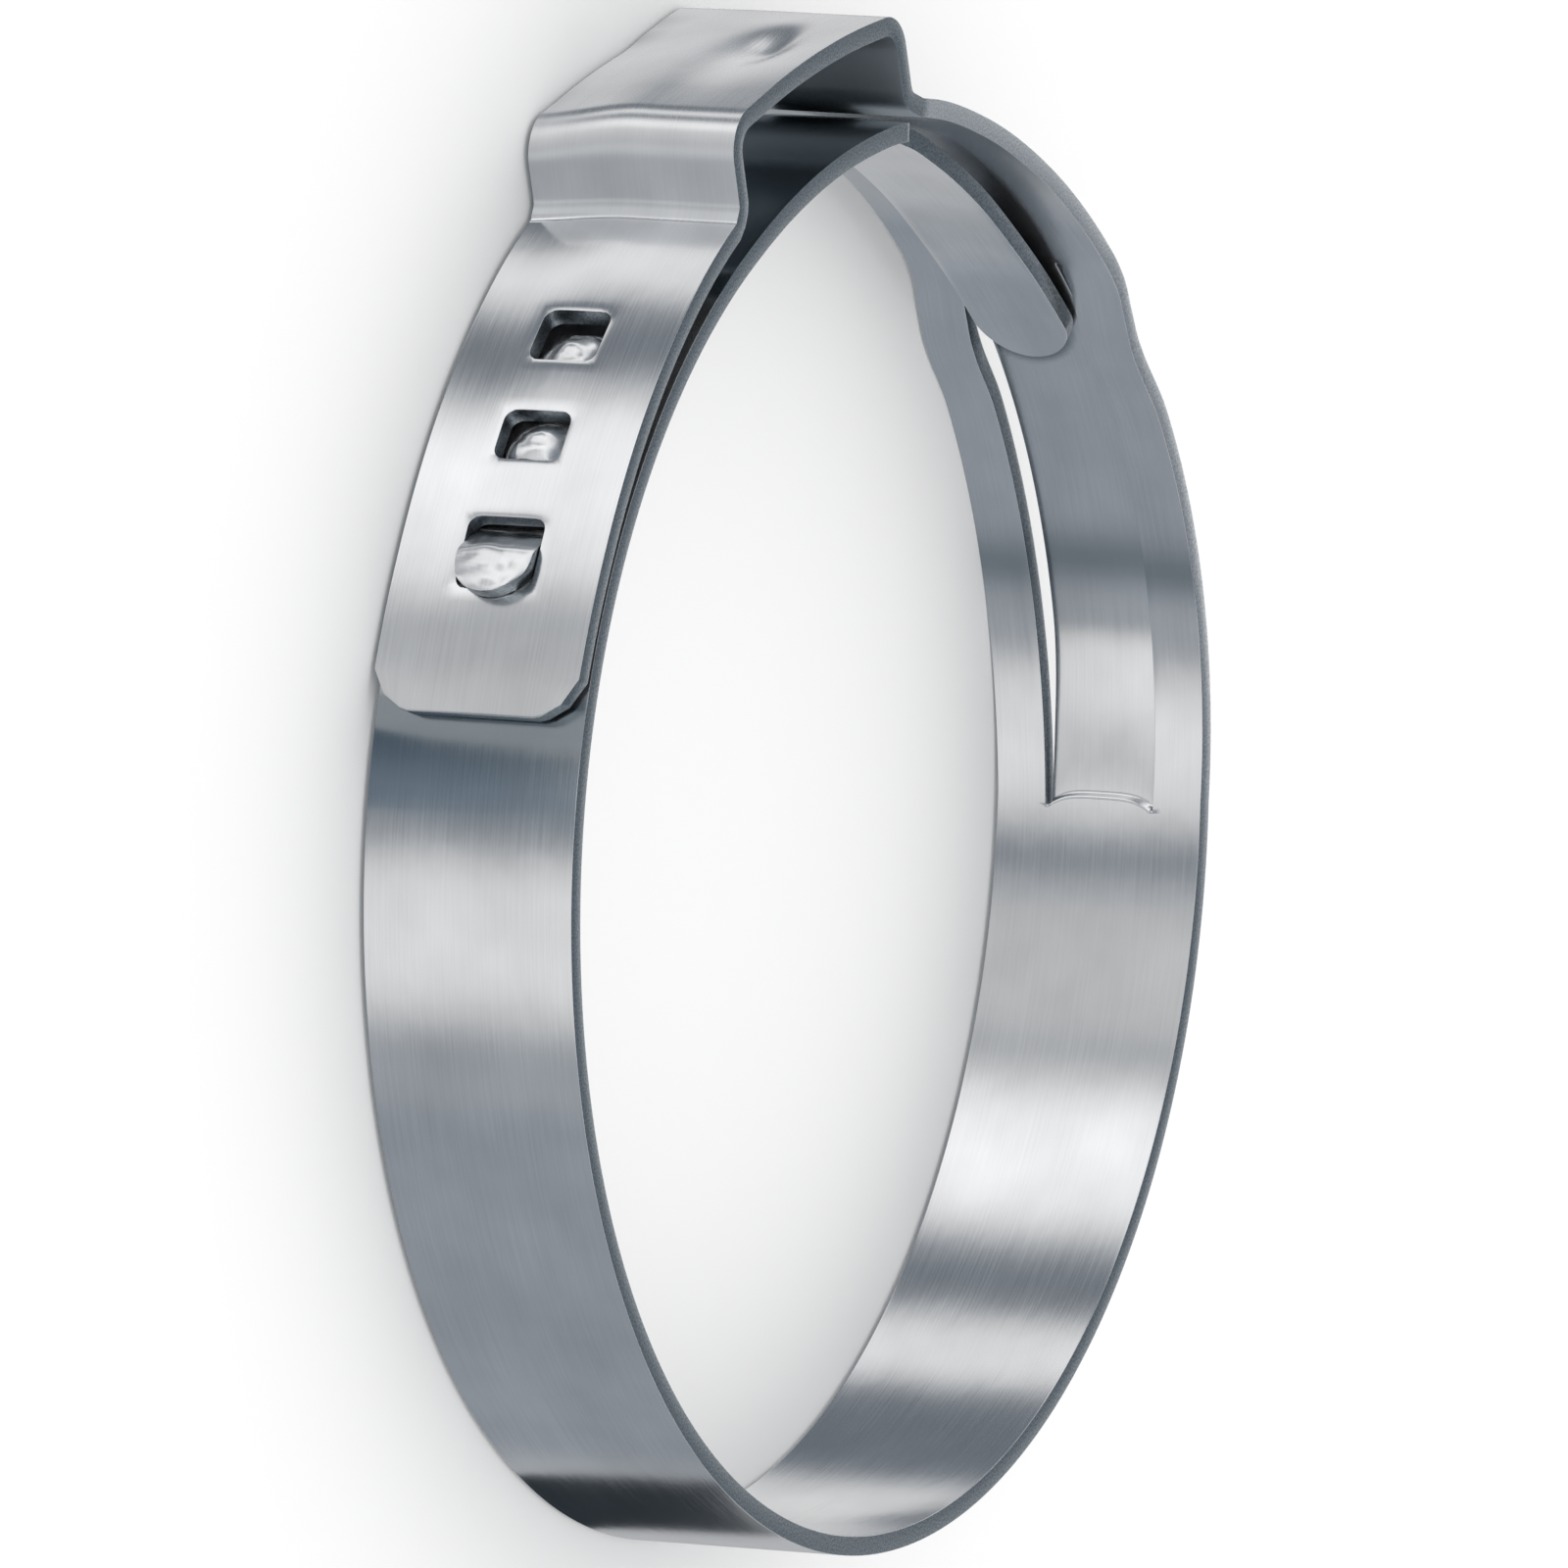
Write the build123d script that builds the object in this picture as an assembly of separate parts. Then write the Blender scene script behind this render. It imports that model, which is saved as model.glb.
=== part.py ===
"""Stepless ear hose clamp, rolled and pressed from one strip of spring-hard stainless steel.

The strip is described in the order in which it winds round the hose: the narrow tongue at its inner
end, the lap under the ear, the plain ring with its hooks, the lanced channel that the tongue slides
in, the raised band, the ear, and the outer lap whose windows take the hooks.

The bore axis is Z and the ear is centred on +Y. A place along the band is an arc length on the bore,
measured from the middle of the ear, positive towards the windows. A lift is how far the inner face of
the strip stands off the bore. Millimetres.
"""
import os
from math import asin, cos, degrees, pi, radians, sin, sqrt

from build123d import *

# Strip and ring
bore_radius = 21.0
strip_width = 7.0
strip_thickness = 0.6

# Gaps between the layers of the clamp as supplied, with its ear open
lap_gap = 0.15
foot_gap = 0.18
window_gap = 0.22
end_flare = 0.22
spring_lift = 0.42

# Tongue at the inner end, and the sprung lap behind it
tongue_width = 3.1
tongue_length = 18.0
shoulder_inset = 0.55
shoulder_radius = 0.4
spring_toe_length = 9.5
spring_heel_length = 11.0

# Channel: a centre strip lanced free of two rails and raised over the tongue
tongue_travel = 15.2
step_overlap = 0.7
step_length = 3.0
tongue_side_gap = 0.2
lance_gap = 0.1
rail_bow = 0.17
rail_dip = 0.05
end_step_length = 1.0

# Ear, between the middles of its legs and from the raised band to the middle of its top
ear_width = 11.3
ear_height = 2.2
ear_crown = 0.65
ear_lean = 0.35
ear_corner_radius = 1.1
foot_run = 0.75
foot_radius = 0.5
dimple_length = 6.8
dimple_width = 4.2
dimple_depth = 0.4
dimple_ball_height = 2.0

# Outer lap and its windows
outer_lap_length = 17.1
end_corner_radius = 1.2
first_window = 5.15
window_pitch = 3.45
guide_window_pitch = 3.72
window_length = 1.75
window_width = 2.25
guide_window_length = 2.2
guide_window_width = 2.6
window_corner = 0.35

# Hooks on the ring, which stand in the windows
hook_clearance = 0.1
hook_side_gap = 0.125
hook_height = 0.75
hook_wall = 0.35
hook_face = 0.45
hook_pole_tilt = 52
guide_hook_side_gap = 0.15
guide_hook_thickness = 0.45
guide_hook_reach = 0.5
guide_hook_gap = 0.1

# Lifts and places worked out from the sizes above
raised_lift = strip_thickness + lap_gap
foot_lift = spring_lift + strip_thickness + foot_gap
window_lift = strip_thickness + window_gap
foot_middle_radius = bore_radius + foot_lift + strip_thickness / 2
foot = bore_radius * asin((ear_width / 2 + foot_run) / foot_middle_radius)
shoulder = -(ear_width / 2 - shoulder_inset)
tongue_tip = shoulder - tongue_length
spring_toe = shoulder - spring_toe_length
spring_heel = shoulder + spring_heel_length
step_bottom = tongue_tip + step_overlap
step_top = step_bottom + step_length
channel_end = tongue_tip - tongue_travel
outer_end = ear_width / 2 + outer_lap_length
load_windows = [ear_width / 2 + first_window, ear_width / 2 + first_window + window_pitch]
guide_window = load_windows[-1] + guide_window_pitch
full_turn = 2 * pi * bore_radius
lanced_width = tongue_width + 2 * tongue_side_gap
hook_radius = window_width / 2 - hook_side_gap
guide_hook_width = guide_window_width - 2 * guide_hook_side_gap
ear_crown_radius = (ear_width / 2 - 1.5 * ear_corner_radius) * (ear_width / 2) / ear_crown


def outward(arc):
    """Unit vector that points away from the bore axis at a place along the band."""
    angle = radians(polar_angle(arc))
    return Vector(cos(angle), sin(angle), 0)


def polar_angle(arc):
    """Angle about Z, in degrees, of a place along the band."""
    return 90 + degrees(arc / bore_radius)


def along(arc):
    """Unit vector along the band, towards the windows."""
    return Vector(0, 0, 1).cross(outward(arc))


def station(arc, lift):
    """Point of the band's profile."""
    return outward(arc) * (bore_radius + lift)


def tangent_plane(arc, lift):
    """Plane that lies on the band: x along it, y across it, z outwards."""
    return Plane(origin=station(arc, lift), x_dir=along(arc), z_dir=outward(arc))


def strip_between(inner, outer, width):
    """Strip whose faces follow two lines that run the same way, centred on the XY plane."""
    face = make_face([inner, Line(inner @ 1, outer @ 1), outer, Line(outer @ 0, inner @ 0)])
    return extrude(face, amount=width / 2, both=True)


def ring_sector(start, end, lift=0.0, width=strip_width, thickness=strip_thickness):
    """Stretch of band that stays at one lift."""
    opening = polar_angle(end) - polar_angle(start)
    inner = CenterArc((0, 0), bore_radius + lift, polar_angle(start), opening)
    outer = CenterArc((0, 0), bore_radius + lift + thickness, polar_angle(start), opening)
    return strip_between(inner, outer, width)


def ribbon(places, width=strip_width, thickness=strip_thickness, end_slope=0.0):
    """Stretch of band that springs smoothly through (arc, lift) places, level where it starts."""
    first, last = places[0][0], places[-1][0]
    tangents = [along(first), along(last) + outward(last) * end_slope]
    inner = Spline([station(arc, lift) for arc, lift in places], tangents=tangents)
    outer = Spline([station(arc, lift + thickness) for arc, lift in places], tangents=tangents)
    return strip_between(inner, outer, width)


def edges_across(solid, arc, lift, half_width, thickness=strip_thickness):
    """The two edges that run through the strip's thickness at a place, one on each side of it."""
    middle = station(arc, lift + thickness / 2)
    found = []
    for side in (-1, 1):
        corner = Vector(middle.X, middle.Y, side * half_width)
        found.append(min(solid.edges(), key=lambda edge: (edge.center() - corner).length))
    return found


def make_tongue_and_lap():
    """Inner end: the round-tipped tongue, and the full-width lap that springs out under the ear."""
    tongue = ring_sector(tongue_tip, spring_toe, width=tongue_width)
    tongue = fillet(edges_across(tongue, tongue_tip, 0, tongue_width / 2), tongue_width * 0.49)
    lap = ribbon(
        [
            (spring_toe, 0),
            (shoulder - spring_toe_length / 2, spring_lift * 0.65),
            (shoulder, spring_lift),
            (shoulder + spring_heel_length / 3, spring_lift * 0.7),
            (shoulder + spring_heel_length * 2 / 3, spring_lift * 0.2),
            (spring_heel, 0),
        ]
    )
    relief = ring_sector(spring_toe - 1, shoulder, -spring_lift, strip_width, 4 * strip_thickness)
    for side in (-1, 1):
        lap -= Pos(0, 0, side * (tongue_width + strip_width) / 2) * relief
    for half_width in (tongue_width / 2, strip_width / 2):
        lap = fillet(edges_across(lap, shoulder, spring_lift, half_width), shoulder_radius)
    return tongue + lap


def raise_load_hook(ring, window):
    """Hollow half dome in a window, its lanced face against the edge that pulls on it."""
    face_place = window + window_length / 2 - hook_clearance
    level = tangent_plane(face_place - hook_face, strip_thickness)
    ball_radius = (hook_radius**2 + hook_height**2) / (2 * hook_height)
    ball_place = Pos(0, 0, hook_height - ball_radius) * Rot(0, hook_pole_tilt, 0)
    side = 4 * hook_radius
    behind_face = Pos(hook_face - side / 2, 0, 0) * Box(side, side, side)
    dome = level * (ball_place * Sphere(ball_radius) & behind_face)
    hollow = level * (ball_place * Sphere(ball_radius - hook_wall) & behind_face)
    return ring + (dome - Cylinder(bore_radius, strip_width)) - hollow


def raise_guide_hook(ring):
    """Round-ended tab lanced from the ring, which leans out over the end of the guide window."""
    window_edge = guide_window + guide_window_length / 2
    root = guide_window - guide_window_length / 2 + hook_clearance
    clear_lift = window_lift + end_flare / 2 + strip_thickness + guide_hook_gap
    tip = window_edge + guide_hook_reach
    opening = ring_sector(root + strip_thickness, window_edge, -1, guide_hook_width, 3)
    tab = ribbon(
        [
            (root, strip_thickness - guide_hook_thickness),
            ((root + window_edge) / 2, clear_lift * 0.45),
            (window_edge, clear_lift),
            (tip, clear_lift + guide_hook_gap),
        ],
        guide_hook_width,
        guide_hook_thickness,
        end_slope=0.1,
    )
    corners = edges_across(
        tab, tip, clear_lift + guide_hook_gap, guide_hook_width / 2, guide_hook_thickness
    )
    return ring - opening + fillet(corners, guide_hook_width * 0.45)


def make_ring():
    """Plain ring from under the windows round to the channel, with the hooks raised on it."""
    ring = ring_sector(spring_heel, full_turn + channel_end)
    for window in load_windows:
        ring = raise_load_hook(ring, window)
    return raise_guide_hook(ring)


def make_rail():
    """One side of the channel: it stays on the bore, bows sideways, and climbs to the raised band."""
    level = ring_sector(channel_end, step_bottom - step_length, width=2 * strip_width)
    climb = ribbon(
        [
            (step_bottom - step_length, 0),
            (step_bottom, -rail_dip),
            (step_bottom + step_length / 2, raised_lift * 0.45),
            (step_top, raised_lift),
        ],
        width=2 * strip_width,
    )
    middle = (channel_end + step_top) / 2
    half_chord = bore_radius * sin((step_top - channel_end) / 2 / bore_radius)
    inner_edge = lanced_width / 2 + lance_gap
    outer_edge = strip_width / 2
    inner = ThreePointArc((-half_chord, inner_edge), (0, inner_edge + rail_bow), (half_chord, inner_edge))
    outer = ThreePointArc((-half_chord, outer_edge), (0, outer_edge + rail_bow), (half_chord, outer_edge))
    plan = make_face([inner, Line(inner @ 1, outer @ 1), outer, Line(outer @ 0, inner @ 0)])
    for side in (-1, 1):
        overrun = Pos(side * (half_chord + strip_thickness / 2), (inner_edge + outer_edge) / 2)
        plan += overrun * Rectangle(strip_thickness, outer_edge - inner_edge)
    trim = extrude(tangent_plane(middle, 0) * plan, amount=bore_radius / 3, both=True)
    return (level + climb) & trim


def make_channel():
    """Two rails, and the lanced strip between them that bridges over the tongue."""
    rail = make_rail()
    bridge = ring_sector(channel_end + end_step_length, step_top, raised_lift, lanced_width)
    end_step = ribbon([(channel_end, 0), (channel_end + end_step_length, raised_lift)], lanced_width)
    return bridge + end_step + rail + mirror(rail, Plane.XY)


def make_raised_band():
    """Full-width band that lies over the tongue and rises to the foot of the ear."""
    rise = foot_lift - raised_lift
    third = (-foot - step_top) / 3
    return ribbon(
        [
            (step_top, raised_lift),
            (step_top + third, raised_lift + rise * 0.15),
            (step_top + 2 * third, raised_lift + rise * 0.45),
            (-foot, foot_lift),
        ]
    )


def dimple_ball(top, growth):
    """Flattened ball that dips into the ear's outer face, or grown by the strip's thickness."""
    centre_height = top + strip_thickness / 2 - dimple_depth + dimple_ball_height
    spread = sqrt(1 - (1 - dimple_depth / dimple_ball_height) ** 2)
    radii = (
        dimple_length / 2 / spread + growth,
        dimple_ball_height + growth,
        dimple_width / 2 / spread + growth,
    )
    return Pos(0, centre_height, 0) * scale(Sphere(1), by=radii)


def make_ear():
    """Ear: two legs, rounded shoulders and a crowned top with a pressed dimple."""
    corner_height = foot_middle_radius + ear_height
    top = corner_height + ear_crown * 0.6
    right_end = station(-foot, foot_middle_radius - bore_radius)
    left_end = station(foot, foot_middle_radius - bore_radius)
    middle_line = FilletPolyline(
        right_end,
        right_end + along(-foot) * foot_run,
        (ear_width / 2 - 2 * ear_lean, corner_height),
        (0, corner_height + ear_crown),
        (-ear_width / 2 - ear_lean / 2, corner_height),
        left_end - along(foot) * foot_run,
        left_end,
        radius=[foot_radius, ear_corner_radius, ear_crown_radius, ear_corner_radius, foot_radius],
    )
    start = Plane(origin=right_end, x_dir=outward(-foot), z_dir=along(-foot))
    ear = sweep(start * Rectangle(strip_thickness, strip_width), path=middle_line)
    under_side = Pos(0, top - ear_height / 2, 0) * Box(ear_width, ear_height, strip_width)
    return ear + (dimple_ball(top, strip_thickness) & under_side) - dimple_ball(top, 0)


def make_outer_lap():
    """Outer end: it lies over the ring, its windows over the hooks, and its end flares a little."""
    settle = foot_lift - window_lift
    lap = ribbon(
        [
            (foot, foot_lift),
            (foot + (load_windows[0] - foot) / 2, window_lift + settle * 0.35),
            (load_windows[0], window_lift + settle * 0.1),
            (load_windows[1], window_lift),
            (guide_window, window_lift + end_flare * 0.2),
            (outer_end, window_lift + end_flare),
        ],
        end_slope=0.05,
    )
    corners = edges_across(lap, outer_end, window_lift + end_flare, strip_width / 2)
    lap = fillet(corners, end_corner_radius)
    for window in load_windows:
        lap -= window_cutter(window, window_length, window_width)
    return lap - window_cutter(guide_window, guide_window_length, guide_window_width)


def window_cutter(arc, length, width):
    """Rounded slug that pierces the outer lap."""
    outline = tangent_plane(arc, window_lift + strip_thickness / 2) * RectangleRounded(
        length, width, window_corner
    )
    return extrude(outline, amount=strip_thickness, both=True)


def make_clamp_band():
    """The whole strip, as one solid."""
    sections = [make_tongue_and_lap(), make_ring(), make_channel(), make_raised_band(), make_ear()]
    return sections[0].fuse(*sections[1:], make_outer_lap())


os.makedirs("parts", exist_ok=True)
export_step(make_clamp_band(), "parts/clamp_band.step")
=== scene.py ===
# %% [markdown]
# # Ear hose clamp
# One strip of spring-hard stainless steel is rolled into a ring, so that its two ends overlap. The
# outer end carries an ear that pliers squeeze shut. Here the strip is made the way the press makes
# it: as a flat blank that is pierced and lanced, and then formed round the bore.
# The scene is in metres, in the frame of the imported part: the bore axis is Z and the ear is on +Y.

from math import atan2, cos, exp, hypot, pi, radians, sin, sqrt, tan

import bmesh
import bpy
from mathutils import Matrix, Vector, noise


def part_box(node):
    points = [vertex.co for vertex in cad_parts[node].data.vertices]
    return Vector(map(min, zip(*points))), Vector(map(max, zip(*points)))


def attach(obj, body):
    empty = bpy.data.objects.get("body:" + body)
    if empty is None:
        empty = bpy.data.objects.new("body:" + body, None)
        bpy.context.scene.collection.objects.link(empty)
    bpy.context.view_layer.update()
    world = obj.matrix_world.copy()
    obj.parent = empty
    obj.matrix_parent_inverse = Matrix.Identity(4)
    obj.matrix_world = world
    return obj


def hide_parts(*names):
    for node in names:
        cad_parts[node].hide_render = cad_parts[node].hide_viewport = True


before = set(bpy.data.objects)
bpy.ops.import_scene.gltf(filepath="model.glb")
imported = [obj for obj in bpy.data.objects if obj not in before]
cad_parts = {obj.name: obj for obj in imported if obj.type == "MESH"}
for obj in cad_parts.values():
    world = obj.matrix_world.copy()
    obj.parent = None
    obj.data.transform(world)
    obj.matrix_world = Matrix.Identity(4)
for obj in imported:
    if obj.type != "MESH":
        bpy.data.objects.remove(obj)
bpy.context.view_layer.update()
band_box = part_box("clamp_band")
MM = 0.001
print("packed band, mm:", [[round(v / MM, 2) for v in corner] for corner in band_box])

# %% [markdown]
# ## Sizes of the strip
# A place along the strip is an arc length on the bore from the middle of the ear, in millimetres.
# It grows towards the windows and goes on growing round the ring, so that the second layer at a
# place is one full turn further on. An offset across the strip is a height along the bore axis.

# %% Ring, tongue, channel and ear, in millimetres
BORE = 21.0
THICKNESS = 0.59
HALF_WIDTH = 3.5
FULL_TURN = 2 * pi * BORE

TONGUE_TIP = -23.1
TONGUE_HALF_WIDTH = 1.55
TONGUE_ROUND_FROM = TONGUE_TIP + TONGUE_HALF_WIDTH
SHOULDER = -5.1

CHANNEL_END = FULL_TURN - 38.3
STEP_BOTTOM = FULL_TURN - 22.4
STEP_TOP = FULL_TURN - 19.4
RAISED = 0.75
STRIP_EDGE = 1.75
RAIL_EDGE = 1.85
RAIL_BOW = 0.17
END_STEP = 0.06
END_STEP_RISE = 0.28
STRIP_RISE = 0.47
STRIP_CLIMB = 5.4
END_ARCH = 0.35
ARCH_FLAT = 0.2
ARCH_LENGTH = 2.6
ARCH_HALF_WIDTH = 3.3
ARCH_POWER = 4

EAR_FOOT = 6.0
EAR_FOOT_LIFT = 1.2
PLAIN_RING = 10.0
SAME_PLACE = 1e-4
print("tongue's tip to the middle of the ear, along the bore, mm:", round(FULL_TURN - TONGUE_TIP, 1))

# %% [markdown]
# The lap is the outer end of the strip. Its three windows drop over the ring, where two hooks and a
# guide tab stand up through them. A window is given by its middle, its length and its half width,
# and a hook by the centre of its dome and the place where its face is sheared.

# %% Lap, windows, hooks and guide tab, in millimetres
OUTER_END = 22.75
END_CORNER = 1.2
CORNER_FULLNESS = 0.62
WINDOWS = [(10.8, 1.8, 1.125), (14.25, 1.6, 1.125), (17.97, 2.2, 1.3)]  # middle, length, half width
WINDOW_CORNER = 0.35
ROLL_DEPTH = 0.018
ROLL_WIDTH = 0.14

HOOKS = [(11.12, 11.57), (14.5, 14.95)]  # centre of the dome, and its sheared face
HOOK_RADIUS = 1.08
HOOK_HEIGHT = 0.76
HOOK_SHIFT = 0.1
HOOK_HALF_WIDTH = 1.0

TAB_ROOT = 16.95
TAB_END = 19.1
TAB_HALF_WIDTH = 1.125
TAB_LINE = [(0.0, 0.0), (0.5, 0.6), (0.98, 1.18), (1.06, 1.25), (1.3, 1.3), (2.4, 1.42)]
TAB_REACH = TAB_LINE[-1][0]
TAB_SPREAD = 1.12
TAB_CROWN = 0.2
TAB_CROWN_FROM = 0.8
HOLE_TRIM = 0.8
HOLE_TRIM_FROM = TAB_ROOT + 0.5
HOLE_TRIM_FULL = TAB_ROOT + 0.9
print("windows at, mm:", [middle for middle, _, _ in WINDOWS])

# %% [markdown]
# Two curves shape most of what follows. One is a soft step. The other passes through a few heights
# without overshooting them, where a plain spline would swing past a flat stretch and leave a hump.

# %% Soft steps and curves
def smooth_step(value, start, end):
    """0 before start, 1 after end, and a soft climb between them."""
    t = min(max((value - start) / (end - start), 0.0), 1.0)
    return t * t * (3 - 2 * t)


def through(places, value):
    """Value of the smooth curve that passes through (place, height) pairs without overshooting."""
    if value <= places[0][0]:
        return places[0][1]
    if value >= places[-1][0]:
        return places[-1][1]
    slopes = [(b[1] - a[1]) / (b[0] - a[0]) for a, b in zip(places, places[1:])]
    k = max(i for i in range(len(slopes)) if places[i][0] <= value)

    def tangent(i):
        if i in (0, len(slopes)) or slopes[i - 1] * slopes[i] <= 0:
            return 0.0
        return 2 * slopes[i - 1] * slopes[i] / (slopes[i - 1] + slopes[i])

    (x0, y0), (x1, y1) = places[k], places[k + 1]
    width = x1 - x0
    t = (value - x0) / width
    rise = (3 - 2 * t) * t * t
    return (
        y0 + (y1 - y0) * rise
        + width * tangent(k) * t * (1 - t) ** 2
        - width * tangent(k + 1) * t * t * (1 - t)
    )


def near(a, b):
    """Whether two lengths in millimetres are the same place."""
    return abs(a - b) < SAME_PLACE


print("half way up a soft step:", smooth_step(0.5, 0, 1))

# %% [markdown]
# ## Lines that the strip follows
# The lift is how far the inner face stands off the bore. The lap under the ear springs out a
# little, the two rails dip and climb to the raised band, and the lanced strip between them rises
# slowly from the end of its channel, so that the slots beside it open bit by bit.

# %% Lift along the strip
INNER_LIFTS = [
    (TONGUE_TIP, 0.05), (-20.0, -0.16), (-17.2, -0.25), (-13.9, -0.1), (-11.0, 0.14), (-9.0, 0.36),
    (-6.6, 0.48), (SHOULDER, 0.5), (-2.6, 0.35), (0.0, 0.2), (2.5, 0.08), (5.5, 0.0),
]
RAIL_LIFTS = [
    (STEP_BOTTOM - 3.0, 0.0), (STEP_BOTTOM - 0.9, -0.15), (STEP_BOTTOM - 0.2, -0.1),
    (STEP_BOTTOM + 0.8, 0.2), (STEP_BOTTOM + 1.9, 0.62), (STEP_TOP, RAISED),
]
RAISED_LIFTS = [
    (STEP_TOP, RAISED), (FULL_TURN - 14.5, 0.8), (FULL_TURN - 10.0, 0.98),
    (FULL_TURN - EAR_FOOT, EAR_FOOT_LIFT),
]
LAP_LIFTS = [
    (EAR_FOOT, EAR_FOOT_LIFT), (7.4, 1.17), (8.6, 1.12), (10.2, 1.04), (13.2, 0.9), (16.2, 0.78),
    (18.5, 0.73), (20.5, 0.74), (OUTER_END, 0.8),
]


def inner_lift(place):
    """Lift of everything from the tongue round to the ear."""
    if place < PLAIN_RING:
        return through(INNER_LIFTS, place)
    if place < STEP_TOP:
        return through(RAIL_LIFTS, place)
    return through(RAISED_LIFTS, place)


def strip_lift(place):
    """Lift of the strip that is lanced free of the rails: a small step, and then a long climb."""
    past = place - CHANNEL_END
    step = END_STEP_RISE * smooth_step(past, 0.0, END_STEP)
    return step + STRIP_RISE * smooth_step(past, 0.0, STRIP_CLIMB)


def end_arch(place, across):
    """How far the line of the end step bends back at a place, away from the middle of the strip."""
    fade = 1 - smooth_step(abs(across), RAIL_EDGE, ARCH_HALF_WIDTH)
    beside = min(abs(across) / STRIP_EDGE, 1.0) ** ARCH_POWER * fade
    return END_ARCH * beside * (1 - smooth_step(abs(place - CHANNEL_END), ARCH_FLAT, ARCH_LENGTH))


def polar(place, radius):
    """Point of the profile at a place and a radius, in millimetres."""
    angle = pi / 2 + place / BORE
    return Vector((radius * cos(angle), radius * sin(angle)))


print("lap's lift at its end, mm:", through(LAP_LIFTS, OUTER_END))

# %% [markdown]
# The ear is one path in the plane of the profile: out along the foot, up the leg, over the crown and
# down again. It is given as its outer face, since that is the face that shows. It could be a row of
# hand-placed points, but straight runs joined by arcs are how a bending tool leaves it.

# %% Outer face of the ear
EAR_CORNERS = [
    polar(-EAR_FOOT, BORE + EAR_FOOT_LIFT + THICKNESS),
    Vector((5.7, 22.3)),
    Vector((5.5, 24.92)),
    Vector((0.1, 25.55)),
    Vector((-6.27, 24.95)),
    Vector((-6.1, 22.25)),
    polar(EAR_FOOT, BORE + EAR_FOOT_LIFT + THICKNESS),
]
FOOT_BEND = 0.28
TOP_BEND = 1.3
CROWN_BEND = 34.0
PATH_PITCH = 0.1
ROW_PITCH = 0.11


def rounded_path(corners, radii, pitch):
    """Points along straight runs joined by arcs, pitch apart or closer."""
    points = [corners[0]]
    for before, corner, after, radius in zip(corners, corners[1:], corners[2:], radii):
        back = (before - corner).normalized()
        ahead = (after - corner).normalized()
        half = back.angle(ahead) / 2
        centre = corner + (back + ahead).normalized() * radius / sin(half)
        start = corner + back * radius / tan(half) - centre
        end = corner + ahead * radius / tan(half) - centre
        turn = atan2(start.cross(end), start.dot(end))
        steps = max(4, int(abs(turn) * radius / pitch) + 1)
        for k in range(steps + 1):
            points.append(centre + Matrix.Rotation(turn * k / steps, 2) @ start)
    return points + [corners[-1]]


ear_bends = [FOOT_BEND, TOP_BEND, CROWN_BEND, TOP_BEND, FOOT_BEND]
ear_path = rounded_path(EAR_CORNERS, ear_bends, PATH_PITCH)
ear_reach = [0.0]
for here, there in zip(ear_path, ear_path[1:]):
    ear_reach.append(ear_reach[-1] + (there - here).length)


def ear_heading(k):
    """Direction of the ear's path at one of its points."""
    return (ear_path[min(k + 1, len(ear_path) - 1)] - ear_path[max(k - 1, 0)]).normalized()


def ear_point(reach, depth):
    """Point of the ear at a length along its path, sunk to a depth below its outer face."""
    last = len(ear_path) - 2
    k = next((k for k in range(last) if reach <= ear_reach[k + 1]), last)
    part = (reach - ear_reach[k]) / max(ear_reach[k + 1] - ear_reach[k], 1e-9)
    ahead = ear_heading(k).lerp(ear_heading(k + 1), part).normalized()
    return ear_path[k].lerp(ear_path[k + 1], part) + Vector((-ahead.y, ahead.x)) * depth


print("ear path, mm:", round(ear_reach[-1], 2))

# %% [markdown]
# ## The blank
# The blank is one flat grid. Its rows lie across the strip, close together where something is
# pressed, and its columns lie where the windows, the tongue and the lances need an edge. A grid with
# even rows would need more than twice as many of them for the same small hooks.

# %% Rows and columns of the blank
RING_STOPS = [  # where a run of rows starts, and how far apart they are
    (TONGUE_TIP, 0.15), (TONGUE_TIP + 1.65, 0.35), (SHOULDER - 0.6, 0.1), (SHOULDER + 0.6, 0.3),
    (9.6, 0.14), (HOOKS[0][1], 0.14), (HOOKS[1][0] - 1.1, 0.12), (HOOKS[1][1], 0.14),
    (TAB_ROOT, 0.1), (TAB_END, 0.25), (21.0, 0.42),
    (CHANNEL_END - ARCH_LENGTH, 0.2), (CHANNEL_END - ARCH_FLAT, 0.1), (CHANNEL_END, 0.07),
    (CHANNEL_END + END_STEP, 0.1), (CHANNEL_END + 0.44, 0.2), (CHANNEL_END + ARCH_LENGTH, 0.35),
    (STEP_BOTTOM - 2.0, 0.14), (STEP_TOP, 0.35), (FULL_TURN - EAR_FOOT, 0),
]
LAP_STOPS = [(EAR_FOOT, 0.2)]
for middle, length, _ in WINDOWS:
    LAP_STOPS += [(middle - length / 2, 0.11), (middle + length / 2, 0.14)]
LAP_STOPS += [(OUTER_END - END_CORNER, 0.12), (OUTER_END, 0)]
HALF_COLUMNS = [
    0.22, 0.44, 0.66, 0.88, TAB_HALF_WIDTH, 1.3, TONGUE_HALF_WIDTH, STRIP_EDGE, RAIL_EDGE,
    2.15, 2.5, 2.85, 3.15, 3.38, 3.46, HALF_WIDTH,
]


def spaced(start, end, pitch):
    """Rows from start up to, but not including, end."""
    count = max(1, round((end - start) / pitch))
    return [start + (end - start) * k / count for k in range(count)]


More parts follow.
